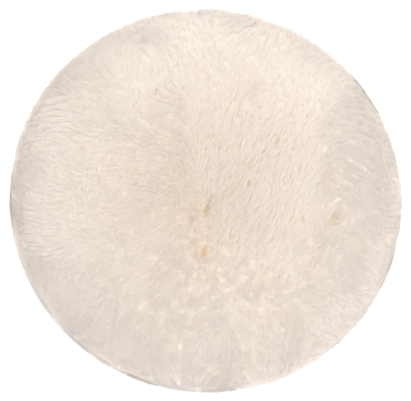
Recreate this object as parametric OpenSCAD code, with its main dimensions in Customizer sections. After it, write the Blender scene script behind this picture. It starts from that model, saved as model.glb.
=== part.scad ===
// Lambskin polishing pad with a hook-and-loop back.
// The loop face lies on z = 0, the wool points up, and every layer is round about Z.

/* [Pad] */
// Diameter over the wool
pad_d = 180; // [165:1:200]
// Length of the wool above the hide in the middle of the pad
pile_h = 22; // [15:0.5:30]
// Height of the widest ring of wool above the loop face
widest_z = 12; // [9:0.5:14]
// Height of the lowest wool at the rim above the loop face
skirt_z = 1; // [0.5:0.1:2]
// How square the wool's upper edge is, as a superellipse exponent
crown_power = 3; // [2.2:0.1:4]
// How square the wool's lower edge is, as a superellipse exponent
skirt_power = 5; // [4:0.5:6]

/* [Backing] */
// Diameter of the loop cloth and of the hide, which are cut together
backing_d = 150; // [140:1:152]
// Depth of the nap of loops
nap_t = 1; // [0.8:0.1:1.4]
// Thickness of the knitted cloth that holds the loops
cloth_t = 0.5; // [0.4:0.1:0.8]
// Thickness of each film of glue
film_t = 0.2; // [0.1:0.05:0.3]
// Thickness of the foam disc
foam_t = 5; // [3:0.5:8]
// Thickness of the tanned hide
hide_t = 1.5; // [1.2:0.1:2]

/* [Sewn edge] */
// Width of the flat flange where the hide is sewn to the loop cloth
flange_w = 4.5; // [4:0.5:7]
// Width of the shoulder where the hide comes down over the foam
shoulder_w = 5; // [4:0.5:8]
// Distance from the cut edge to the seam
seam_inset = 2; // [1.6:0.1:2.4]
// Number of stitches round the pad
stitches = 96; // [72:4:120]
// Diameter of the sewing thread
thread_d = 0.5; // [0.3:0.05:0.6]
// Diameter of each needle hole
needle_hole_d = 1.3; // [1.2:0.05:1.5]
// Depth that the stitches are pulled into the loop cloth
cloth_bite = 0.25; // [0.2:0.01:0.3]
// Depth that the stitches are pulled into the hide
hide_bite = 0.4; // [0.3:0.05:0.6]

/* [Hidden] */
$fn = 96;

pad_r = pad_d / 2;
backing_r = backing_d / 2;
flange_r = backing_r - flange_w;
foam_flat_r = flange_r - shoulder_w;
seam_r = backing_r - seam_inset;

// Heights of the faces between the layers, from the loop face up.
cloth_bottom_z = nap_t;
cloth_top_z = cloth_bottom_z + cloth_t;
foam_bottom_z = cloth_top_z + film_t;
foam_top_z = foam_bottom_z + foam_t;
hide_bottom_z = foam_top_z + film_t;
hide_top_z = hide_bottom_z + hide_t;
wool_top_z = hide_top_z + pile_h;
flange_top_z = cloth_top_z + hide_t;
lift = hide_bottom_z - cloth_top_z;

// The shoulder is drawn in steps from 0, over the foam, to 1, at the flange.
shoulder_steps = 10;
// The foam ends where it would become too thin to cut.
foam_steps = 7;
rim_steps = 26;
edge_gap = 0.3;

// Each stitch is a low arch that dips into a needle hole at both ends.
thread_r = thread_d / 2;
needle_hole_r = needle_hole_d / 2;
hole_inset = 0.35;
stitch_angle = 360 / stitches;
stitch_span = 2 * seam_r * sin(stitch_angle / 2) - 2 * hole_inset;
arch_r = 0.83 * stitch_span;
arch_half_angle = asin(stitch_span / 2 / arch_r);
needle_crown_z = 0.2 + thread_r;
bobbin_crown_z = flange_top_z + 0.1 + thread_r;
channel_w = thread_d + 0.3;
wool_channel_top_z = bobbin_crown_z + thread_r + 0.1;

// A drop from 1 to 0 with level ends.
function ease_down(t) = 1 - t * t * (3 - 2 * t);

// Points down the shoulder, with the given height added, from the flat top to the flange.
function shoulder(last_step, extra_z) = [
    for (i = [0 : last_step])
        let (t = i / shoulder_steps)
        [foam_flat_r + t * shoulder_w, cloth_top_z + lift * ease_down(t) + extra_z]
];

// A point on the wool's outline: angle 90 is the top, 0 the widest ring, -90 the bottom.
function wool_point(angle, power, height) = [
    pad_r * pow(cos(angle), 2 / power),
    widest_z + sign(angle) * height * pow(abs(sin(angle)), 2 / power)
];

// The angle at which the wool's underside meets the hide's cut edge.
skirt_angle = acos(pow((backing_r + edge_gap) / pad_r, skirt_power / 2));
skirt_points = [
    for (i = [rim_steps : -1 : 1])
        wool_point(-skirt_angle * i / rim_steps, skirt_power, widest_z - skirt_z)
];
crown_points = [
    for (i = [0 : rim_steps - 1])
        wool_point(90 * i / rim_steps, crown_power, wool_top_z - widest_z)
];

// A flat round layer.
module disc(radius, bottom_z, thickness) {
    translate([0, 0, bottom_z])
        cylinder(r = radius, h = thickness);
}

// A ring-shaped channel that the stitches lie in.
module seam_channel(bottom_z, top_z) {
    rotate_extrude()
        translate([seam_r - channel_w / 2, bottom_z])
            square([channel_w, top_z - bottom_z]);
}

// The needle holes through a layer.
module needle_holes(bottom_z, depth) {
    for (i = [0 : stitches - 1])
        rotate([0, 0, i * stitch_angle])
            translate([seam_r, 0, bottom_z])
                cylinder(r = needle_hole_r, h = depth, $fn = 24);
}

// One stitch: a low arch of thread along X, crown up at the origin, both ends dipping into holes.
module stitch() {
    translate([0, 0, -arch_r])
        rotate([90, 0, 0])
            rotate([0, 0, 90 - arch_half_angle])
                rotate_extrude(angle = 2 * arch_half_angle)
                    translate([arch_r, 0])
                        circle(r = thread_r, $fn = 24);
}

// One thread of the lockstitch: a ring of stitches with their crowns at the given height.
module seam(crown_z) {
    for (i = [0 : stitches - 1])
        rotate([0, 0, (i + 0.5) * stitch_angle])
            translate([seam_r, 0, crown_z])
                rotate([0, 0, 90])
                    stitch();
}

module loop_nap() {
    color("ivory")
        difference() {
            disc(backing_r, 0, nap_t);
            seam_channel(-1, nap_t + 1);
        }
}

module loop_ground_cloth() {
    color("whitesmoke")
        difference() {
            disc(backing_r, cloth_bottom_z, cloth_t);
            seam_channel(cloth_bottom_z - 1, cloth_bottom_z + cloth_bite);
            needle_holes(cloth_bottom_z - 1, cloth_t + 2);
        }
}

module backing_glue_film() {
    color("wheat")
        disc(foam_flat_r, cloth_top_z, film_t);
}

module foam_cushion() {
    color("lightyellow")
        rotate_extrude()
            polygon(concat(
                [[0, foam_bottom_z]],
                [[foam_flat_r + foam_steps / shoulder_steps * shoulder_w, foam_bottom_z]],
                [for (i = [foam_steps : -1 : 0]) shoulder(foam_steps, -film_t)[i]],
                [[0, foam_top_z]]
            ));
}

module hide_glue_film() {
    color("wheat")
        disc(foam_flat_r, foam_top_z, film_t);
}

module lambskin_hide() {
    color("antiquewhite")
        difference() {
            rotate_extrude()
                polygon(concat(
                    [[0, hide_bottom_z]],
                    shoulder(shoulder_steps, 0),
                    [[backing_r, cloth_top_z], [backing_r, flange_top_z]],
                    [for (i = [shoulder_steps : -1 : 0]) shoulder(shoulder_steps, hide_t)[i]],
                    [[0, hide_top_z]]
                ));
            seam_channel(flange_top_z - hide_bite, flange_top_z + 1);
            needle_holes(cloth_top_z - 1, hide_t + 2);
        }
}

module wool_pile() {
    color("linen")
        difference() {
            rotate_extrude()
                polygon(concat(
                    [[0, hide_top_z]],
                    shoulder(shoulder_steps, hide_t),
                    [[backing_r, flange_top_z]],
                    skirt_points,
                    crown_points,
                    [[0, wool_top_z]]
                ));
            seam_channel(cloth_top_z, wool_channel_top_z);
        }
}

module needle_thread() {
    color("oldlace")
        rotate([180, 0, 0])
            seam(-needle_crown_z);
}

module bobbin_thread() {
    color("oldlace")
        seam(bobbin_crown_z);
}

loop_nap();
loop_ground_cloth();
backing_glue_film();
foam_cushion();
hide_glue_film();
lambskin_hide();
wool_pile();
needle_thread();
bobbin_thread();
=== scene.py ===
"""Lambswool polishing pad: a coat of wool strands on a soft undercoat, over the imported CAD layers."""

import math

import bpy
import numpy as np
from mathutils import Matrix, Vector
from mathutils.kdtree import KDTree


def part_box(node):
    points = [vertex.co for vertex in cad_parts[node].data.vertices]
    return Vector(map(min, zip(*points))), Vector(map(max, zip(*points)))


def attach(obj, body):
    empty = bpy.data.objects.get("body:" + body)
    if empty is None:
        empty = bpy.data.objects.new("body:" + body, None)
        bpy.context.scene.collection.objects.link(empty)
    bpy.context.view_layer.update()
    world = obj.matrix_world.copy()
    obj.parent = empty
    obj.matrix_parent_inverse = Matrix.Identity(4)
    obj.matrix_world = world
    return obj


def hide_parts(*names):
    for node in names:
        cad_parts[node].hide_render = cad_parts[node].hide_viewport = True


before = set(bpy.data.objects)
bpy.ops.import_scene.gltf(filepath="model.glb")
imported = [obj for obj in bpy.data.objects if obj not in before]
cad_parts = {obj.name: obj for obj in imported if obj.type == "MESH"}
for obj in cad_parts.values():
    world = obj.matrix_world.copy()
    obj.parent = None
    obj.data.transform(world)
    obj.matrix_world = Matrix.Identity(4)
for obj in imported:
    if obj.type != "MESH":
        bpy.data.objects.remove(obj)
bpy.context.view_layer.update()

MM = 0.001
RNG = np.random.default_rng(20)
GOLDEN_ANGLE = math.pi * (3 - math.sqrt(5))

# The wool's outline, as part.scad draws it: a superellipse above and another below the widest ring.
WOOL_LOW, WOOL_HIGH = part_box("wool_pile")
PAD_R = WOOL_HIGH.x
WIDEST_Z = 12 * MM
CROWN_H = WOOL_HIGH.z - WIDEST_Z
SKIRT_H = WIDEST_Z - WOOL_LOW.z
CROWN_POWER = 3.0
SKIRT_POWER = 5.0
EDGE_GAP = 0.3 * MM

# The hide: a flat top, a shoulder down over the foam, and a flange that the seam goes through.
BACKING_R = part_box("lambskin_hide")[1].x
HIDE_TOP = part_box("lambskin_hide")[1].z
HIDE_T = 1.5 * MM
FLANGE_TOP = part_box("loop_ground_cloth")[1].z + HIDE_T
FLANGE_R = BACKING_R - 4.5 * MM
SHOULDER_W = 5 * MM
SEAM_R = BACKING_R - 2 * MM
CHANNEL_W = 0.8 * MM
CHANNEL_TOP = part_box("bobbin_thread")[1].z + 0.1 * MM
FIT_GAP = 0.02 * MM


# ---------------------------------------------------------------- camera, light and floor

CAMERA_TILT = math.radians(14.5)
NEAR_SIDE = math.radians(255)
LENS = 120
FRAME_WIDTH = 0.1868
SURROUND = 0.912
HORIZON_COLOUR = (0.90, 0.89, 0.93)
ZENITH_COLOUR = (1.44, 1.43, 1.42)
KEY_ENERGY = 2.3
FILL_ENERGY = 2.4
FLOOR_GLOW = 0.2
# The key light stands beyond the pad and the fill light over its near side.
KEY_PLACE = (0.12, 0.62, 0.55)
FILL_PLACE = (0.15, -0.45, 0.7)
KEY_COLOUR = (1.0, 0.96, 0.91)
FILL_COLOUR = (1.0, 0.97, 0.93)
LIGHT_SIZE = 0.9
FLOOR_SIZE = 6
# How far the picture's middle lies from the pad's middle, to the right and up.
AIM_RIGHT = -1.0 * MM
AIM_UP = -3.4 * MM


def make_camera():
    """Looks down on the wool, tipped away from the pad's axis towards the near side."""
    near = Vector((math.cos(NEAR_SIDE), math.sin(NEAR_SIDE), 0))
    axis = Vector((0, 0, 1)).cross(near)
    turn = Matrix.Rotation(CAMERA_TILT, 4, axis)
    camera = bpy.data.objects.new("camera", bpy.data.cameras.new("camera"))
    camera.data.lens = LENS
    distance = FRAME_WIDTH * LENS / camera.data.sensor_width
    centre = Vector((0, 0, (WOOL_LOW.z + WOOL_HIGH.z) / 2))
    back = Matrix.Translation((AIM_RIGHT, AIM_UP, distance))
    camera.matrix_world = Matrix.Translation(centre) @ turn @ back
    camera.data.clip_start = 0.01
    bpy.context.scene.collection.objects.link(camera)
    bpy.context.scene.camera = camera


def area_light(name, place, energy, colour):
    """A round soft light that faces the pad."""
    light = bpy.data.lights.new(name, "AREA")
    light.shape = "DISK"
    light.size = LIGHT_SIZE
    light.energy = energy
    light.color = colour
    lamp = bpy.data.objects.new(name, light)
    lamp.location = place
    lamp.rotation_euler = (-Vector(place)).to_track_quat("-Z", "Y").to_euler()
    bpy.context.scene.collection.objects.link(lamp)


def make_surround():
    """Soft light all round, brightest overhead and cooler towards the floor."""
    world = bpy.data.worlds.new("surround")
    world.use_nodes = True
    nodes, links = world.node_tree.nodes, world.node_tree.links
    place = nodes.new("ShaderNodeTexCoord")
    height = nodes.new("ShaderNodeSeparateXYZ")
    links.new(place.outputs["Generated"], height.inputs["Vector"])
    colour = mixed(nodes, links, "MIX", height.outputs["Z"], HORIZON_COLOUR, ZENITH_COLOUR)
    links.new(colour, nodes["Background"].inputs["Color"])
    nodes["Background"].inputs["Strength"].default_value = SURROUND
    return world


def make_studio():
    """A white floor, soft light all round, and two warm lights."""
    scene = bpy.context.scene
    scene.view_settings.view_transform = "Standard"
    scene.cycles.max_bounces = 16
    scene.cycles.diffuse_bounces = 16
    scene.world = make_surround()
    area_light("key_light", KEY_PLACE, KEY_ENERGY, KEY_COLOUR)
    area_light("fill_light", FILL_PLACE, FILL_ENERGY, FILL_COLOUR)
    bpy.ops.mesh.primitive_grid_add(x_subdivisions=4, y_subdivisions=4, size=FLOOR_SIZE)
    floor = bpy.context.object
    floor.name = "floor"
    material, _, _, shader = new_material("floor_white")
    shader.inputs["Base Color"].default_value = (0.85, 0.85, 0.85, 1)
    shader.inputs["Roughness"].default_value = 0.8
    shader.inputs["Emission Color"].default_value = (1, 1, 1, 1)
    shader.inputs["Emission Strength"].default_value = FLOOR_GLOW
    floor.data.materials.append(material)


# ---------------------------------------------------------------- helpers


def new_material(name):
    material = bpy.data.materials.new(name)
    material.use_nodes = True
    nodes, links = material.node_tree.nodes, material.node_tree.links
    return material, nodes, links, nodes["Principled BSDF"]


def ramp(nodes, stops):
    """A colour ramp with (position, colour) stops."""
    node = nodes.new("ShaderNodeValToRGB")
    elements = node.color_ramp.elements
    while len(elements) < len(stops):
        elements.new(0.5)
    for element, (position, colour) in zip(elements, stops):
        element.position = position
        element.color = (*colour, 1)
    return node


def mesh_piece(name, points, faces, material, smooth=True):
    """A mesh object from points and a list of face arrays, each with its own number of corners."""
    mesh = bpy.data.meshes.new(name)
    sizes = np.concatenate([np.full(len(f), f.shape[1]) for f in faces])
    corners = np.concatenate([f.ravel() for f in faces]).astype(np.int32)
    mesh.vertices.add(len(points))
    mesh.vertices.foreach_set("co", np.asarray(points, np.float32).ravel())
    mesh.loops.add(len(corners))
    mesh.loops.foreach_set("vertex_index", corners)
    mesh.polygons.add(len(sizes))
    starts = np.concatenate([[0], np.cumsum(sizes)[:-1]]).astype(np.int32)
    mesh.polygons.foreach_set("loop_start", starts)
    mesh.update(calc_edges=True)
    mesh.validate()
    mesh.polygons.foreach_set("use_smooth", np.full(len(mesh.polygons), smooth))
    mesh.materials.append(material)
    piece = bpy.data.objects.new(name, mesh)
    bpy.context.scene.collection.objects.link(piece)
    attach(piece, "root")
    return piece


def waves(count, wavelength, seed):
    """A smooth random field over space, about -1 to 1, as a sum of sine waves."""
    rng = np.random.default_rng(seed)
    direction = rng.normal(size=(count, 3))
    direction /= np.linalg.norm(direction, axis=1)[:, None]
    number = 2 * math.pi / wavelength * rng.uniform(0.6, 1.5, count)
    phase = rng.uniform(0, 2 * math.pi, count)

    def field(p):
        total = np.zeros(len(p))
        for d, k, a in zip(direction, number, phase):
            total += np.sin(p @ d * k + a)
        return total / math.sqrt(count / 2) / 1.6

    return field


def unit(v):
    return v / np.maximum(np.linalg.norm(v, axis=1), 1e-12)[:, None]


# ---------------------------------------------------------------- the wool's outline


def on_outline(p):
    """The points of the wool's outline in the directions of p from the middle, and the normals there."""
    q = p - (0, 0, WIDEST_Z)
    up = q[:, 2] >= 0
    power = np.where(up, CROWN_POWER, SKIRT_POWER)
    height = np.where(up, CROWN_H, SKIRT_H)
    flat = np.hypot(q[:, 0], q[:, 1]) / PAD_R
    tall = np.abs(q[:, 2]) / height
    scale = (flat**power + tall**power) ** (-1 / power)
    flat, tall, q = flat * scale, tall * scale, q * scale[:, None]
    across = flat ** (power - 1) / PAD_R
    along = tall ** (power - 1) / height * np.sign(q[:, 2])
    radial = unit(q * (1, 1, 0))
    normal = unit(radial * across[:, None] + np.outer(along, (0, 0, 1)))
    return q + (0, 0, WIDEST_Z), normal


def outline_profile(steps=400):
    """(radius, height) points from the hide's cut edge round the rim to the middle of the top."""
    start = -math.acos(((BACKING_R + EDGE_GAP) / PAD_R) ** (SKIRT_POWER / 2))
    angle = np.linspace(start, math.pi / 2, steps)
    up = angle >= 0
    power = np.where(up, CROWN_POWER, SKIRT_POWER)
    height = np.where(up, CROWN_H, SKIRT_H)
    r = PAD_R * np.cos(angle).clip(0) ** (2 / power)
    z = WIDEST_Z + np.sign(angle) * height * np.abs(np.sin(angle)) ** (2 / power)
    return r, z


def spread_over_outline(count):
    """Points spread evenly by area over the wool's outline, on a golden-angle spiral."""
    r, z = outline_profile()
    step = np.hypot(np.diff(r), np.diff(z))
    area = np.concatenate([[0], np.cumsum(step * (r[1:] + r[:-1]) / 2)])
    wanted = (np.arange(count) + 0.5) / count * area[-1]
    turn = np.arange(count) * GOLDEN_ANGLE
    radius, height = np.interp(wanted, area, r), np.interp(wanted, area, z)
    return np.stack([radius * np.cos(turn), radius * np.sin(turn), height], axis=1)


# ---------------------------------------------------------------- the lie of the wool

LUMPS = waves(24, 34 * MM, 1)
DIMPLES = waves(24, 12 * MM, 2)
SWIRL = waves(20, 40 * MM, 3)
PATCH = waves(20, 26 * MM, 4)
FLOCK = waves(60, 2.6 * MM, 5)
# Where the locks lean over together and part: to the right of the middle of the pad.
PARTED_AT = np.array((26, -2)) * MM
PARTED_SIZE = np.array((34, 50)) * MM
PARTED_LEAN = math.radians(66)
PARTED_WAY = np.array((math.cos(PARTED_LEAN), math.sin(PARTED_LEAN), 0))
# How far the wool leans, as tangents: in the middle of the pad, what the rim adds to that, in the
# parted patch, and how far down the rim's wool hangs.
MIDDLE_LEAN = 0.45
RIM_LEAN = 0.75
PATCH_LEAN = 1.0
HANG = 0.35
# The wool leans by about LEAST_LEAN or more, except where it would lean by less than WHORL_LEAN:
# there it comes to stand upright at the centre of a whorl.
LEAST_LEAN = 0.5
WHORL_LEAN = 0.25
# How far the lean turns with the swirls, in radians.
SWIRL_TURN = 0.5
# How much of the outward lean and of the swirls the parted patch takes away.
PATCH_CALMS_LEAN = 0.85
PATCH_CALMS_SWIRL = 0.6
# How far the sheared surface rises and falls with the lumps and the dimples.
LUMP_HEIGHT = 0.32 * MM
DIMPLE_HEIGHT = 0.06 * MM
# The widest partings, which show the wool's tan roots. Each has its place, half length, half width
# and depth, in millimetres.
WIDE_PARTINGS = (
    (-1, -10, 4.2, 1.4, 1.5),
    (-3, -30, 3.6, 1.5, 1.3),
    (57, -13, 3.8, 1.9, 1.5),
    (19, 11, 3.0, 0.9, 1.0),
    (18, 2, 2.2, 1.0, 0.9),
    (10, -22, 2.2, 1.0, 0.8),
    (38, 4, 2.8, 0.8, 0.8),
    (42, -14, 2.6, 0.8, 0.8),
    (-24, 44, 2.2, 0.7, 0.6),
    (31, 22, 2.8, 0.8, 0.8),
    (-40, -64, 0.8, 0.7, 0.8),
)
NARROW_PARTINGS = 120
# How far a parting pushes its wool aside, as a share of its half width.
PARTING_PUSH = 0.8


def all_partings():
    """Every parting's place, half length, half width, depth, share of tan and angle."""
    rng = np.random.default_rng(9)
    wide = [(*parting, 1.0, PARTED_LEAN) for parting in WIDE_PARTINGS]
    turn = np.arange(NARROW_PARTINGS) * GOLDEN_ANGLE
    out = np.sqrt((np.arange(NARROW_PARTINGS) + 0.5) / NARROW_PARTINGS)
    place = PARTED_AT + np.stack([out * np.cos(turn), out * np.sin(turn)], axis=1) * PARTED_SIZE
    place = place / MM + rng.normal(0, 1.0, place.shape)
    narrow = np.stack([
        place[:, 0],
        place[:, 1],
        rng.uniform(2.0, 4.2, NARROW_PARTINGS),
        rng.uniform(0.35, 0.7, NARROW_PARTINGS),
        rng.uniform(0.1, 0.4, NARROW_PARTINGS),
        rng.uniform(0.2, 0.6, NARROW_PARTINGS),
        PARTED_LEAN + rng.normal(0, 0.2, NARROW_PARTINGS),
    ], axis=1)
    return np.concatenate([np.array(wide), narrow])


def parted(p):
    """1 in the middle of the parted patch, falling to 0 round it."""
    away = np.hypot(*((p[:, :2] - PARTED_AT) / PARTED_SIZE).T)
    return np.exp(-(away**3))


def along_surface(v, normal):
    return v - normal * (v * normal).sum(1)[:, None]


def lean(p, normal):
    """The direction along the surface in which the wool leans, as long as the angle's tangent."""
    radial = unit(p * (1, 1, 0))
    share = np.hypot(p[:, 0], p[:, 1]) / PAD_R
    k = parted(p)[:, None]
    pull = radial * (MIDDLE_LEAN + RIM_LEAN * share**2)[:, None] * (1 - PATCH_CALMS_LEAN * k)
    pull = pull + k * PATCH_LEAN * PARTED_WAY
    turn = SWIRL_TURN * SWIRL(p) * (1 - PATCH_CALMS_SWIRL * k[:, 0])
    c, s = np.cos(turn), np.sin(turn)
    x, y = c * pull[:, 0] - s * pull[:, 1], s * pull[:, 0] + c * pull[:, 1]
    pull = np.stack([x, y, pull[:, 2]], axis=1)
    pull[:, 2] -= HANG * share**6
    pull = along_surface(pull, normal)
    length = np.linalg.norm(pull, axis=1)
    return unit(pull) * np.hypot(length, LEAST_LEAN * np.tanh(length / WHORL_LEAN))[:, None]


def partings(p):
    """How far the wool is pushed sideways at each point, how deep it is parted, and how tan, 0 to 1."""
    push, deep, tan = np.zeros((len(p), 3)), np.zeros(len(p)), np.zeros(len(p))
    for x, y, half_length, half_width, depth, share, turn in all_partings():
        c, s = math.cos(turn), math.sin(turn)
        dx, dy = p[:, 0] / MM - x, p[:, 1] / MM - y
        u, v = (c * dx + s * dy) / half_length, (-s * dx + c * dy) / half_width
        opened = np.exp(-(u**2) - (v / 2.5) ** 2)
        push += np.outer(opened * np.tanh(2 * v) * half_width * PARTING_PUSH * MM, (-s, c, 0))
        pit = np.exp(-(u**2) - v**2)
        deep += depth * MM * pit
        tan = np.maximum(tan, share * pit)
    facing_up = p[:, 2] > WIDEST_Z
    return push * facing_up[:, None], deep * facing_up, tan * facing_up


def smooth_step(x):
    x = x.clip(0, 1)
    return x * x * (3 - 2 * x)


def painted_rim_light_and_shade(p, normal):
    """Painted light and shade: how far the wool is painted paler towards the rim in place of light, and
    how far it is painted greyer round the side in place of shade, both 0 to 1.
    """
    share = np.hypot(p[:, 0], p[:, 1]) / PAD_R
    return 0.95 * smooth_step(share / 0.9), 0.55 * smooth_step(1 - normal[:, 2] / 0.8)


def surface_lift(p, normal):
    """How far the sheared surface stands above or below the outline. It is level at the rim."""
    height = LUMP_HEIGHT * (LUMPS(p) - 0.5) + DIMPLE_HEIGHT * DIMPLES(p)
    return height * np.abs(normal[:, 2]) ** 1.5


# ---------------------------------------------------------------- wool strands

WISPS = 17000
STRANDS_PER_WISP = 9
SECTORS = 14
STRAND_DEPTH = 4.2 * MM
STRAND_R = 0.08 * MM
WISP_LENGTH = 1.6 * MM
WISP_WIDTH = 0.55 * MM
WISP_HOLD = 0.2
CRIMP = 0.07 * MM
LOCKS = 2200
LOCK_STRETCH = 2.2
DROOP = 2.4 * MM
RINGS = (0.0, 0.45, 0.78)
SIDES = 3
# The name of the UV map in which each strand, loop and thread ply has its own cell.
CELL_MAP = "OFBake"
ROUNDNESS = 0.05
# Light passes through the wool's lower edge, so it is shaded as if it faced no further down.
LOWEST_SHADE = -0.2
# How far wisps and locks stray from their even spiral.
WISP_SCATTER = 0.5 * MM
LOCK_SCATTER = 1.2 * MM
# How far a wisp is drawn to the middle of its lock, as a share of the way: everywhere, what the
# parted patch adds, and at random.
LOCK_HOLD = 0.05
PATCH_HOLD = 0.14
RANDOM_HOLD = 0.06
# How much the lean varies from lock to lock, from wisp to wisp and from strand to strand.
LOCK_SPREAD = 0.05
WISP_SPREAD = 0.05
STRAND_SPREAD = 0.06
# How far wisps sink below the sheared surface, between locks and down the pad's wall.
GAP_SINK = 0.05 * MM
WALL_SINK = 0.6 * MM
LOWEST_TIP = 0.4 * MM
ROOT_COLOUR = (0.84, 0.72, 0.60)
MIDDLE_COLOUR = (0.862, 0.772, 0.690)
TIP_COLOUR = (0.866, 0.783, 0.710)
TAN_COLOUR = (0.86, 0.67, 0.46)
# Painted colours: the rim colour is painted light, paler towards the rim, and the side colour is painted
# shade, greyer round the side.
RIM_LIGHT_COLOUR = (0.958, 0.878, 0.806)
SIDE_SHADE_COLOUR = (0.87, 0.795, 0.745)


def nearest(points, centres):
    """The nearest of the centres to each point, and how far it is."""
    tree = KDTree(len(centres))
    for i, centre in enumerate(centres):
        tree.insert(centre, i)
    tree.balance()
    found = [tree.find(p) for p in points]
    return np.array([f[1] for f in found]), np.array([f[2] for f in found])


def squeezed(p):
    """Places drawn together along the lie of the parted wool, so that its locks come out long."""
    return p - np.outer(p @ PARTED_WAY * (1 - 1 / LOCK_STRETCH), PARTED_WAY)


def wisp_roots():
    """Where each wisp of strands grows, how it is drawn into its lock, and the tone it shares."""
    place, normal = on_outline(spread_over_outline(WISPS) + RNG.normal(0, WISP_SCATTER, (WISPS, 3)))
    scatter = RNG.normal(0, LOCK_SCATTER, (LOCKS, 3))
    lock_place, _ = on_outline(spread_over_outline(LOCKS) + scatter)
    lock, away = nearest(squeezed(place), squeezed(lock_place))
    k = parted(place)
    wall = (1 - np.abs(normal[:, 2])) ** 2
    hold = LOCK_HOLD + PATCH_HOLD * k + RANDOM_HOLD * RNG.random(WISPS)
    draw = squeezed(along_surface(lock_place[lock] - place, normal)) * hold[:, None]
    sink = GAP_SINK * k * (away / (2 * MM)) ** 2
    sink += WALL_SINK * wall * (RNG.random(WISPS) ** 2 + RNG.random(LOCKS)[lock])
    lock_lean = RNG.normal(0, LOCK_SPREAD, (LOCKS, 3))[lock]
    tone = RNG.normal(0, 1, LOCKS)[lock] * (0.1 + 0.7 * k + 4 * wall) + RNG.normal(0, 0.9, WISPS)
    return place, draw, sink, lock_lean + RNG.normal(0, WISP_SPREAD, (WISPS, 3)), tone


def strand_points():
    """Every strand's axis from root to tip, its tone, tan, painted rim light and painted side shade,
    width and azimuth, and the coat's normal.
    """
    n = WISPS * STRANDS_PER_WISP
    wisp = np.repeat(np.arange(WISPS), STRANDS_PER_WISP)
    place, draw, sink, wisp_lean, wisp_tone = (x[wisp] for x in wisp_roots())
    place, normal = on_outline(place)
    forward = unit(lean(place, normal))
    across = np.cross(normal, forward) * RNG.normal(0, WISP_WIDTH, n)[:, None]
    root_top, normal = on_outline(place + across + forward * RNG.normal(0, WISP_LENGTH, n)[:, None])
    push, _, tan = partings(root_top)
    tip, normal = on_outline(root_top + draw - across * WISP_HOLD + push)
    way = lean(tip, normal) + wisp_lean + RNG.normal(0, STRAND_SPREAD, (n, 3))
    way = along_surface(way, normal)
    level = np.abs(normal[:, 2])
    short = RNG.random(n) ** 2 * (0.15 + 0.1 * level) * MM
    tip = tip + normal * (surface_lift(tip, normal) - short - sink)[:, None]
    tip[:, 2] -= DROOP * smooth_step((WIDEST_Z - tip[:, 2]) / (8 * MM)) * RNG.random(n)
    tip[:, 2] = np.maximum(tip[:, 2], LOWEST_TIP)
    root = tip - (normal + way) * STRAND_DEPTH - draw + across * WISP_HOLD - push * 0.5

    t = np.array((*RINGS, 1.0))
    rise, drift = np.sin(t * math.pi / 2), 1 - np.cos(t * math.pi / 2)
    up = normal * STRAND_DEPTH
    over = tip - root - up
    axis = root[:, None] + up[:, None] * rise[None, :, None] + over[:, None] * drift[None, :, None]
    crimp = unit(np.cross(RNG.normal(0, 1, (n, 3)), normal + way))
    phase = RNG.uniform(0, 2 * math.pi, n)
    wave = np.sin(phase[:, None] + t[None] * 2 * math.pi * 0.8) * t[None] * CRIMP
    axis += crimp[:, None] * wave[:, :, None]
    tone = 0.5 + 0.05 * wisp_tone + 0.02 * RNG.normal(0, 1, n) + 0.12 * PATCH(tip)
    width = STRAND_R * RNG.uniform(0.7, 1.25, n)
    # Painted light towards the rim and painted shade round the side.
    pale, grey = painted_rim_light_and_shade(tip, normal)
    return axis, tone, tan, pale, grey, width, np.arctan2(tip[:, 1], tip[:, 0]), normal


def add_values(mesh, **values):
    for name, numbers in values.items():
        layer = mesh.attributes.new(name, "FLOAT", "POINT")
        layer.data.foreach_set("value", np.asarray(numbers, np.float32))


def cells(mesh, n, u, v):
    """A UV map with a cell for each of a mesh's n lengths. u and v are the places of its points."""
    across = math.ceil(math.sqrt(n))
    cell = np.arange(n)
    corner = np.stack([cell % across, cell // across], axis=1)
    inside = np.stack([u, 0.15 + 0.7 * v], axis=1)
    uv = (corner[:, None] + inside[None]).reshape(-1, 2) / across
    at = np.empty(len(mesh.loops), np.int32)
    mesh.loops.foreach_get("vertex_index", at)
    mesh.uv_layers.new(name=CELL_MAP).data.foreach_set("uv", uv[at].astype(np.float32).ravel())


def side_quads(rings, sides):
    """The faces round one length, from ring to ring."""
    quads = []
    for r in range(rings - 1):
        for s in range(sides):
            near, far = r * sides + s, r * sides + (s + 1) % sides
            quads.append((near, far, far + sides, near + sides))
    return quads


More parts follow.
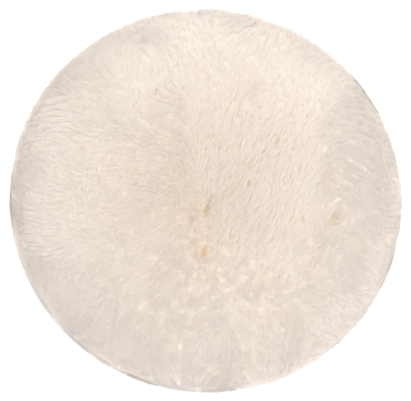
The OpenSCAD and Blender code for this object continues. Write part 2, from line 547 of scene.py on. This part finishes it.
def strand_mesh(name, axis, tone, tan, pale, grey, width, normal, material):
    """Closed three-sided strands that taper to a point, as one mesh."""
    n, rings = len(axis), len(RINGS)
    per = rings * SIDES + 1
    direction = np.gradient(axis, axis=1)
    # Each strand's frame is turned from the world axis that lies furthest from the strand.
    away = np.eye(3)[np.abs(axis[:, -1] - axis[:, 0]).argmin(axis=1)]
    flat = direction.reshape(-1, 3)
    side = unit(np.cross(flat, away.repeat(rings + 1, axis=0))).reshape(direction.shape)
    other = np.cross(unit(flat), side.reshape(-1, 3)).reshape(direction.shape)
    t = np.array(RINGS)
    taper = (1 - 0.75 * t**2)[None, :, None] * width[:, None, None]
    points = np.empty((n, per, 3))
    shade = np.empty((n, per, 3))
    for s in range(SIDES):
        a = 2 * math.pi * s / SIDES
        across = math.cos(a) * side[:, :rings] + math.sin(a) * other[:, :rings]
        points[:, s : rings * SIDES : SIDES] = axis[:, :rings] + across * taper
        shade[:, s : rings * SIDES : SIDES] = across
    points[:, -1] = axis[:, -1]
    shade[:, -1] = 0
    quads = side_quads(rings, SIDES)
    last = (rings - 1) * SIDES
    tris = [(last + s, last + (s + 1) % SIDES, rings * SIDES) for s in range(SIDES)] + [(2, 1, 0)]
    base = np.arange(n)[:, None, None] * per
    faces = [(np.array(f)[None] + base).reshape(-1, len(f[0])) for f in (quads, tris)]
    piece = mesh_piece(name, points.reshape(-1, 3), faces, material)
    along = np.tile(np.array((*np.repeat(t, SIDES), 1.0)), n)
    add_values(piece.data, along=along, tone=np.repeat(tone, per))
    add_values(piece.data, tan=np.repeat(tan, per) * (1 - along))
    add_values(piece.data, pale=np.repeat(pale, per), grey=np.repeat(grey, per))
    u = np.array((*np.tile((0.2, 0.5, 0.8), rings), 0.5))
    cells(piece.data, n, u, np.array((*np.repeat(t, SIDES), 1.0)))
    soft = unit(np.maximum(normal, (-1, -1, LOWEST_SHADE)))
    shade = unit((shade * ROUNDNESS + soft[:, None] * (1 - ROUNDNESS)).reshape(-1, 3))
    piece.data.normals_split_custom_set_from_vertices(shade)
    return piece


def value_node(nodes, name):
    node = nodes.new("ShaderNodeAttribute")
    node.attribute_name = name
    return node.outputs["Fac"]


def mixed(nodes, links, blend, amount, first, second):
    """A colour mix; amount, first and second are sockets or plain values."""
    node = nodes.new("ShaderNodeMix")
    node.data_type = "RGBA"
    node.blend_type = blend
    for socket, value in ((0, amount), (6, first), (7, second)):
        if isinstance(value, bpy.types.NodeSocket):
            links.new(value, node.inputs[socket])
        elif socket:
            node.inputs[socket].default_value = (*value, 1)
        else:
            node.inputs[socket].default_value = value
    return node.outputs[2]


def graded(nodes, links, colour):
    """Shades the wool's colour: painted light makes it paler towards the rim, painted shade makes it
    greyer round the side, and it is tan in the partings.
    """
    for name, shade in (("pale", RIM_LIGHT_COLOUR), ("grey", SIDE_SHADE_COLOUR), ("tan", TAN_COLOUR)):
        colour = mixed(nodes, links, "MIX", value_node(nodes, name), colour, shade)
    return colour


def wool_material():
    """Cream wool: tan down at the roots, paler at the tips, each strand a little warmer or cooler."""
    material, nodes, links, shader = new_material("lambswool")
    length = ramp(nodes, [(0.0, ROOT_COLOUR), (0.5, MIDDLE_COLOUR), (1.0, TIP_COLOUR)])
    links.new(value_node(nodes, "along"), length.inputs["Fac"])
    tint = ramp(nodes, [(0.0, (0.95, 0.93, 0.90)), (0.5, (0.98, 0.975, 0.965)), (1.0, (1.0, 1.0, 1.0))])
    links.new(value_node(nodes, "tone"), tint.inputs["Fac"])
    colour = graded(nodes, links, length.outputs["Color"])
    colour = mixed(nodes, links, "MULTIPLY", 1.0, colour, tint.outputs["Color"])
    links.new(colour, shader.inputs["Base Color"])
    finish_wool(shader)
    return material


def finish_wool(shader):
    shader.inputs["Roughness"].default_value = 0.85
    shader.inputs["Specular IOR Level"].default_value = 0.2
    shader.inputs["Sheen Weight"].default_value = 0.1
    shader.inputs["Sheen Roughness"].default_value = 0.6


def undercoat_material():
    """The dense wool between the strands: warmer than the tips, tan in the partings, and darkened by
    painted shade to the shaded brightness of the strands over it.
    """
    material, nodes, links, shader = new_material("wool_undercoat")
    place = nodes.new("ShaderNodeTexCoord")
    noise = nodes.new("ShaderNodeTexNoise")
    noise.inputs["Scale"].default_value = 500
    noise.inputs["Detail"].default_value = 4
    links.new(place.outputs["Object"], noise.inputs["Vector"])
    colours = ramp(nodes, [(0.3, (0.82, 0.70, 0.58)), (0.7, (0.855, 0.75, 0.65))])
    links.new(noise.outputs["Fac"], colours.inputs["Fac"])
    colour = graded(nodes, links, colours.outputs["Color"])
    # Painted shade darkens the whole undercoat.
    colour = mixed(nodes, links, "MULTIPLY", 1.0, colour, UNDERCOAT_PAINTED_SHADE)
    links.new(colour, shader.inputs["Base Color"])
    finish_wool(shader)
    shader.inputs["Subsurface Weight"].default_value = 1.0
    shader.inputs["Subsurface Radius"].default_value = (1.0, 0.75, 0.55)
    shader.inputs["Subsurface Scale"].default_value = 2.5 * MM
    return material


def make_strands():
    *parts, azimuth, normal = strand_points()
    material = wool_material()
    sector = ((azimuth / (2 * math.pi) + 0.5) * SECTORS).astype(int) % SECTORS
    for s in range(SECTORS):
        pick = sector == s
        name = f"wool_strands_{s + 1:02d}"
        piece = strand_mesh(name, *(x[pick] for x in parts), normal[pick], material)
        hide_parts("wool_pile")


# ---------------------------------------------------------------- wool undercoat

UNDERCOAT_DEPTH = 1.6 * MM
# Painted shade: the undercoat's colour is darkened towards the shaded brightness of the strands over it.
UNDERCOAT_PAINTED_SHADE = (0.885, 0.88, 0.87)
RIM_DEPTH = 1.3 * MM
# At the hide's cut edge the undercoat lies nearer the outline, and it sinks to its full depth over
# most of this distance.
EDGE_BLEND = 6 * MM
UNDERCOAT_ROWS = 200
UNDERCOAT_AROUND = 440
FLOCK_HEIGHT = 0.12 * MM


def shoulder(steps=6):
    """(radius, height) points of the hide's upper side, from its flat top down to the sewn flange."""
    t = np.linspace(0, 1, steps)
    drop = t * t * (3 - 2 * t)
    return FLANGE_R - SHOULDER_W * (1 - t), HIDE_TOP - (HIDE_TOP - FLANGE_TOP) * drop


def hide_side_profile():
    """The undercoat's inner side, from the middle out: over the hide and its flange's stitches."""
    r, z = shoulder()
    over_hide = list(zip(r, z + FIT_GAP))
    channel = [
        (SEAM_R - CHANNEL_W / 2, FLANGE_TOP + FIT_GAP),
        (SEAM_R - CHANNEL_W / 2, CHANNEL_TOP),
        (SEAM_R + CHANNEL_W / 2, CHANNEL_TOP),
        (SEAM_R + CHANNEL_W / 2, FLANGE_TOP + FIT_GAP),
    ]
    return [(r[0] / 2, HIDE_TOP + FIT_GAP)] + over_hide + channel + [(BACKING_R, FLANGE_TOP + FIT_GAP)]


def lathe_points(r, z, turn):
    """The points of a profile of radii and heights, turned round Z."""
    x, y = np.outer(r, np.cos(turn)), np.outer(r, np.sin(turn))
    return np.stack([x, y, np.outer(z, np.ones(len(turn)))], axis=-1).reshape(-1, 3)


def closed_lathe(rows, around):
    """Faces of rows of points round Z, closed by a middle point at the first row and one at the last."""
    i, j = np.meshgrid(np.arange(rows - 1), np.arange(around), indexing="ij")
    k = (j + 1) % around
    row, above = i * around, (i + 1) * around
    quads = np.stack([row + j, row + k, above + k, above + j], axis=-1)
    j = np.arange(around)
    k = (j + 1) % around
    first = np.stack([k, j, np.full(around, rows * around)], axis=1)
    last = (rows - 1) * around
    final = np.stack([j + last, k + last, np.full(around, rows * around + 1)], axis=1)
    return [quads.reshape(-1, 4), np.concatenate([first, final])]


def make_undercoat():
    """A closed body of dense wool under the strands, resting on the hide."""
    around = UNDERCOAT_AROUND
    r, z = outline_profile(2000)
    step = np.concatenate([[0], np.cumsum(np.hypot(np.diff(r), np.diff(z)))])
    where = np.linspace(0, step[-1], UNDERCOAT_ROWS + 1)[:-1]
    r, z = np.interp(where, step, r), np.interp(where, step, z)
    turn = np.linspace(0, 2 * math.pi, around, endpoint=False)
    q, normal = on_outline(lathe_points(r, z, turn))
    level = np.abs(normal[:, 2])
    near_hide = np.minimum(1, 0.3 + where / EDGE_BLEND).repeat(around)
    depth = (RIM_DEPTH + (UNDERCOAT_DEPTH - RIM_DEPTH) * level) * near_hide
    _, deep, tan = partings(q)
    lift = surface_lift(q, normal) + FLOCK_HEIGHT * FLOCK(q) - depth - deep
    q = q + normal * lift[:, None]

    # Painted light towards the rim and painted shade round the side, as on the strands.
    pale, grey = painted_rim_light_and_shade(q, normal)
    inner = hide_side_profile()
    lower = lathe_points(*np.array(inner).T, turn)
    ends = [[0, 0, HIDE_TOP + FIT_GAP], [0, 0, WOOL_HIGH.z - UNDERCOAT_DEPTH]]
    points = np.concatenate([lower, q, ends])
    faces = closed_lathe(len(inner) + UNDERCOAT_ROWS, around)
    piece = mesh_piece("wool_undercoat", points, faces, undercoat_material())
    under = np.zeros(len(inner) * around)
    for name, values in (("tan", tan), ("pale", pale), ("grey", grey)):
        add_values(piece.data, **{name: np.concatenate([under, values, [0, 0]])})
    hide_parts("wool_pile")


# ---------------------------------------------------------------- tubes


def tube_mesh(name, axis, side, width, sides, tone, material):
    """Round closed tubes as one mesh, from n x rings axis points and a direction across each."""
    n, rings = axis.shape[:2]
    per = rings * sides
    along = unit(np.gradient(axis, axis=1).reshape(-1, 3)).reshape(axis.shape)
    other = np.cross(along.reshape(-1, 3), side.reshape(-1, 3)).reshape(axis.shape)
    points = np.empty((n, rings, sides, 3))
    for s in range(sides):
        a = 2 * math.pi * s / sides
        points[:, :, s] = axis + (math.cos(a) * side + math.sin(a) * other) * width[:, None, None]
    quads = side_quads(rings, sides)
    caps = [tuple(reversed(range(sides))), tuple(range(per - sides, per))]
    base = np.arange(n)[:, None, None] * per
    faces = [(np.array(f)[None] + base).reshape(-1, len(f[0])) for f in (quads, caps)]
    piece = mesh_piece(name, points.reshape(-1, 3), faces, material)
    t = np.linspace(0, 1, rings)
    add_values(piece.data, along=np.tile(np.repeat(t, sides), n), tone=np.repeat(tone, per))
    cells(piece.data, n, np.tile(np.linspace(0.2, 0.8, sides), rings), np.repeat(t, sides))
    return piece


# ---------------------------------------------------------------- the nap of loops

LOOP_SPACING = 1.15 * MM
ROW_SPACING = 1.0 * MM
LOOP_WIDTH = 0.62 * MM
LOOP_YARN_R = 0.08 * MM
LOOP_PIECES = 3


def make_loop_nap():
    """Small nylon loops that stand out of the ground cloth, in the rows that a warp knit has."""
    root_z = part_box("loop_nap")[1].z
    rows = int(2 * BACKING_R / ROW_SPACING) + 2
    columns = int(2 * BACKING_R / LOOP_SPACING) + 2
    row, column = np.meshgrid(np.arange(rows), np.arange(columns), indexing="ij")
    x = (column + 0.5 * (row % 2)).ravel() * LOOP_SPACING - BACKING_R
    y = row.ravel() * ROW_SPACING - BACKING_R
    place = np.stack([x, y], axis=1) + RNG.normal(0, 0.1 * MM, (len(x), 2))
    out = np.hypot(*place.T)
    clear_of_seam = np.abs(out - SEAM_R) > CHANNEL_W / 2 + LOOP_WIDTH * 0.7
    place = place[(out < BACKING_R - LOOP_WIDTH) & clear_of_seam]
    n = len(place)
    turn = RNG.normal(0.4, 0.5, n)
    across = np.stack([np.cos(turn), np.sin(turn), np.zeros(n)], axis=1)
    through = np.stack([-np.sin(turn), np.cos(turn), np.zeros(n)], axis=1)
    height = RNG.uniform(0.72, 0.9, n) * MM
    width = LOOP_WIDTH * RNG.uniform(0.8, 1.25, n)
    tilt = RNG.normal(0, 0.12 * MM, n)
    a = np.linspace(0, math.pi, 6)
    root = np.concatenate([place, np.full((n, 1), root_z + 0.03 * MM)], axis=1)
    sideways = (np.cos(a) * (1 + 0.5 * np.sin(a)) / 2)[None] * width[:, None]
    drop = np.sin(a)[None] * height[:, None]
    tipped = np.sin(a)[None] * tilt[:, None]
    axis = root[:, None] + across[:, None] * sideways[:, :, None] + through[:, None] * tipped[:, :, None]
    axis[:, :, 2] -= drop
    side = np.repeat(through[:, None], len(a), axis=1)
    tone = RNG.random(n)
    material = yarn_material("nylon_loops", (0.76, 0.75, 0.71), (0.87, 0.86, 0.83), 0.45)
    for i in range(LOOP_PIECES):
        pick = slice(i * n // LOOP_PIECES, (i + 1) * n // LOOP_PIECES)
        radius = np.full(n, LOOP_YARN_R)[pick]
        piece = tube_mesh(f"nap_loops_{i + 1}", axis[pick], side[pick], radius, 3, tone[pick], material)
        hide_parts("loop_nap")


def yarn_material(name, dark, light, roughness):
    """Yarn whose tone changes a little from one length to the next, with painted shade that darkens each
    length towards both ends.
    """
    material, nodes, links, shader = new_material(name)
    shade = ramp(nodes, [(0.0, dark), (1.0, light)])
    links.new(value_node(nodes, "tone"), shade.inputs["Fac"])
    # Painted shade: each length is darker towards both ends, where it goes into the cloth.
    length = ramp(nodes, [(0.0, (0.9, 0.9, 0.9)), (0.5, (1, 1, 1)), (1.0, (0.9, 0.9, 0.9))])
    links.new(value_node(nodes, "along"), length.inputs["Fac"])
    colour = mixed(nodes, links, "MULTIPLY", 1.0, shade.outputs["Color"], length.outputs["Color"])
    links.new(colour, shader.inputs["Base Color"])
    shader.inputs["Roughness"].default_value = roughness
    shader.inputs["Sheen Weight"].default_value = 0.15
    return material


# ---------------------------------------------------------------- the edge seam

STITCHES = 96
PLIES = 3
PLY_R = 0.12 * MM
TWIST_PITCH = 1.2 * MM
THREAD_R = 0.25 * MM
# How far each stitch's ends stop short of the middles of its needle holes, as part.scad has it.
HOLE_INSET = 0.35 * MM
# The radius of a stitch's arch, as a share of its span.
ARCH_SHARE = 0.83
STITCH_RINGS = 26


def make_seam(node, crown_up):
    """One thread of the edge seam: a ring of arches, each of plies laid round each other."""
    low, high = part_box(node)
    half_span = SEAM_R * math.sin(math.pi / STITCHES) - HOLE_INSET
    arch_r = ARCH_SHARE * 2 * half_span
    reach = math.asin(half_span / arch_r)
    crown_z = high.z - THREAD_R if crown_up else low.z + THREAD_R
    up = 1 if crown_up else -1
    t = np.linspace(-reach, reach, STITCH_RINGS)
    turn = (np.arange(STITCHES) + 0.5) * 2 * math.pi / STITCHES
    outward = np.stack([np.cos(turn), np.sin(turn), np.zeros(STITCHES)], axis=1)
    forward = np.stack([-np.sin(turn), np.cos(turn), np.zeros(STITCHES)], axis=1)
    middle = outward * SEAM_R + np.array((0, 0, crown_z - up * arch_r))
    rise = forward[:, None] * np.sin(t)[None, :, None] + np.array((0, 0, up)) * np.cos(t)[None, :, None]
    plies = []
    for ply in range(PLIES):
        a = 2 * math.pi * (ply / PLIES + t * arch_r / TWIST_PITCH)[None, :, None]
        offset = rise * np.cos(a) + outward[:, None] * np.sin(a)
        plies.append(middle[:, None] + rise * arch_r + offset * (THREAD_R - PLY_R))
    axis = np.concatenate(plies)
    along = unit(np.gradient(axis, axis=1).reshape(-1, 3))
    out = np.tile(outward[:, None], (PLIES, STITCH_RINGS, 1)).reshape(-1, 3)
    side = unit(np.cross(along, out)).reshape(axis.shape)
    tone = RNG.random(len(axis))
    material = yarn_material(f"{node}_yarn", (0.74, 0.67, 0.56), (0.86, 0.80, 0.70), 0.5)
    piece = tube_mesh(f"{node}_plies", axis, side, np.full(len(axis), PLY_R), 5, tone, material)
    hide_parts(node)


# ---------------------------------------------------------------- the foam cushion

FOAM_AROUND = 420
FOAM_STEP = 1.15 * MM
PORE_DEPTH = 0.22 * MM
PORES = waves(70, 1.6 * MM, 8)


def make_foam():
    """The foam disc, its cut faces pitted with open cells."""
    low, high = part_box("foam_cushion")
    flat_r = FLANGE_R - SHOULDER_W
    t = np.linspace(0.7, 0, 8)
    slope_r = flat_r + t * SHOULDER_W
    slope_z = high.z - (HIDE_TOP - FLANGE_TOP) * t * t * (3 - 2 * t)
    flat = np.arange(FOAM_STEP, flat_r, FOAM_STEP)
    rows = int(len(flat) * 1.05)
    bottom = np.linspace(FOAM_STEP, slope_r[0], rows)
    r = np.concatenate([bottom, slope_r[1:], flat[::-1]])
    z = np.concatenate([np.full(rows, low.z), slope_z[1:], np.full(len(flat), high.z)])
    inward = np.concatenate([np.ones(rows), np.zeros(len(slope_z) - 1), -np.ones(len(flat))])
    turn = np.linspace(0, 2 * math.pi, FOAM_AROUND, endpoint=False)
    p = lathe_points(r, z, turn)
    pit = PORE_DEPTH * (PORES(p) * 1.2).clip(0, 1)
    p[:, 2] += np.repeat(inward, FOAM_AROUND) * pit
    steep = np.repeat(inward == 0, FOAM_AROUND)
    p[steep] -= unit(p[steep] * (1, 1, 0)) * pit[steep][:, None]
    points = np.concatenate([p, [[0, 0, low.z], [0, 0, high.z]]])
    piece = mesh_piece("foam_cells", points, closed_lathe(len(r), FOAM_AROUND), foam_material())
    add_values(piece.data, pit=np.concatenate([pit / PORE_DEPTH, [0, 0]]))
    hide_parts("foam_cushion")


def foam_material():
    """Pale foam, with painted shade that darkens it down in its cells."""
    material, nodes, links, shader = new_material("open_cell_foam")
    # Painted shade: the deeper a pit, the darker its colour.
    shade = ramp(nodes, [(0.0, (0.83, 0.80, 0.70)), (1.0, (0.62, 0.58, 0.48))])
    links.new(value_node(nodes, "pit"), shade.inputs["Fac"])
    links.new(shade.outputs["Color"], shader.inputs["Base Color"])
    shader.inputs["Roughness"].default_value = 0.9
    return material


# ---------------------------------------------------------------- finishes of the carried-over layers


def mottled(name, dark, light, grain, roughness, bump):
    """A material mottled by noise with the given grain size, with the same noise as its relief."""
    material, nodes, links, shader = new_material(name)
    place = nodes.new("ShaderNodeTexCoord")
    noise = nodes.new("ShaderNodeTexNoise")
    noise.inputs["Scale"].default_value = 1 / grain
    noise.inputs["Detail"].default_value = 6
    links.new(place.outputs["Object"], noise.inputs["Vector"])
    shade = ramp(nodes, [(0.3, dark), (0.7, light)])
    links.new(noise.outputs["Fac"], shade.inputs["Fac"])
    links.new(shade.outputs["Color"], shader.inputs["Base Color"])
    relief = nodes.new("ShaderNodeBump")
    relief.inputs["Strength"].default_value = 0.5
    relief.inputs["Distance"].default_value = bump
    links.new(noise.outputs["Fac"], relief.inputs["Height"])
    links.new(relief.outputs["Normal"], shader.inputs["Normal"])
    shader.inputs["Roughness"].default_value = roughness
    return material, nodes, links, shader, shade


def knit_material():
    """Warp-knitted cloth: fine ribs one way crossed by finer rows of stitches."""
    material, nodes, links, shader, shade = mottled(
        "warp_knit", (0.76, 0.75, 0.72), (0.86, 0.85, 0.82), 1.5 * MM, 0.8, 0.05 * MM
    )
    place = nodes.new("ShaderNodeTexCoord")
    colour = shade.outputs["Color"]
    for direction, period in (("X", 1.0 * MM), ("Y", 0.6 * MM)):
        ribs = nodes.new("ShaderNodeTexWave")
        ribs.bands_direction = direction
        # A wave texture's bands repeat every pi / 10 of its scaled coordinate.
        ribs.inputs["Scale"].default_value = math.pi / 10 / period
        ribs.inputs["Distortion"].default_value = 1.0
        links.new(place.outputs["Object"], ribs.inputs["Vector"])
        bands = ramp(nodes, [(0.0, (0.86, 0.86, 0.86)), (1.0, (1, 1, 1))])
        links.new(ribs.outputs["Fac"], bands.inputs["Fac"])
        colour = mixed(nodes, links, "MULTIPLY", 1.0, colour, bands.outputs["Color"])
    links.new(colour, shader.inputs["Base Color"])
    return material


def finish_carried_nodes():
    """Gives each CAD layer that stays its own finish."""
    leather = mottled("tanned_hide", (0.70, 0.59, 0.45), (0.82, 0.73, 0.59), 3 * MM, 0.85, 0.2 * MM)[0]
    glue = mottled("contact_glue", (0.74, 0.66, 0.48), (0.84, 0.77, 0.60), 5 * MM, 0.4, 0.05 * MM)[0]
    finishes = {
        "lambskin_hide": leather,
        "loop_ground_cloth": knit_material(),
        "backing_glue_film": glue,
        "hide_glue_film": glue,
    }
    for node, material in finishes.items():
        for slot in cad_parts[node].material_slots:
            slot.material = material


make_camera()
make_studio()
finish_carried_nodes()
make_loop_nap()
make_seam("needle_thread", crown_up=False)
make_seam("bobbin_thread", crown_up=True)
make_foam()
make_undercoat()
make_strands()
